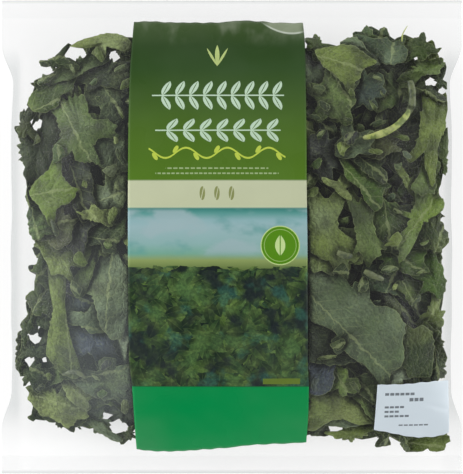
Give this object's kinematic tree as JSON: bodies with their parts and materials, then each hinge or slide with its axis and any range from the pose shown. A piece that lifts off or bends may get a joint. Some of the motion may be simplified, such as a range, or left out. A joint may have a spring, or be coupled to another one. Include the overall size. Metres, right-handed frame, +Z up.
{
  "type": "bag of cut kale leaves",
  "caption": "Clear film pillow bag filled with cut kale leaves, with flat crimped end seals, a printed green band down its front and a small white panel.",
  "frame": {"origin": "middle of the flat spot that the bag rests on, under the middle of its outline", "axes": "+X across the bag towards the white panel's side, +Y up the printed front towards the top seal, +Z up out of the printed front"},
  "size_m": [0.281, 0.289, 0.0578],
  "materials": {
    "clear_film": "clear glossy film",
    "band_print": "glossy green print",
    "panel_print": "glossy white print",
    "kale_heap": "waxy dark green leaf",
    "dark_leaf": "waxy grey-green leaf",
    "pale_leaf": "waxy pale green leaf",
    "stem": "smooth pale green stem"
  },
  "bodies": {
    "root": {"film_bag": "clear_film", "printed_band": "band_print", "printed_panel": "panel_print", "kale_heap_left": "kale_heap", "kale_heap_middle": "kale_heap", "kale_heap_right": "kale_heap", "leaf_pale_upper_right": "pale_leaf", "leaf_crown_upper_right": "dark_leaf", "leaf_long_right_edge": "pale_leaf", "leaf_green_right": "dark_leaf", "leaf_folded_right": "pale_leaf", "leaf_pale_beside_band": "pale_leaf", "leaf_bright_right_edge": "pale_leaf", "leaf_large_lower_right": "pale_leaf", "leaf_dark_right_edge": "dark_leaf", "leaf_pale_foot_right": "pale_leaf", "leaf_pale_top_left": "pale_leaf", "leaf_olive_upper_left": "pale_leaf", "leaf_broad_upper_left": "pale_leaf", "leaf_bright_left_edge": "pale_leaf", "leaf_grey_beside_band": "dark_leaf", "leaf_strap_left": "pale_leaf", "leaf_pale_foot_left": "pale_leaf", "leaf_back_upper": "dark_leaf", "leaf_back_upper_edge": "dark_leaf", "leaf_back_side": "dark_leaf", "leaf_back_middle": "dark_leaf", "leaf_back_foot": "dark_leaf", "leaf_back_foot_edge": "dark_leaf", "stem_arc": "stem", "stem_chip_upper": "stem", "stem_chip_lower": "stem", "stem_left": "stem"}
  },
  "joints": []
}
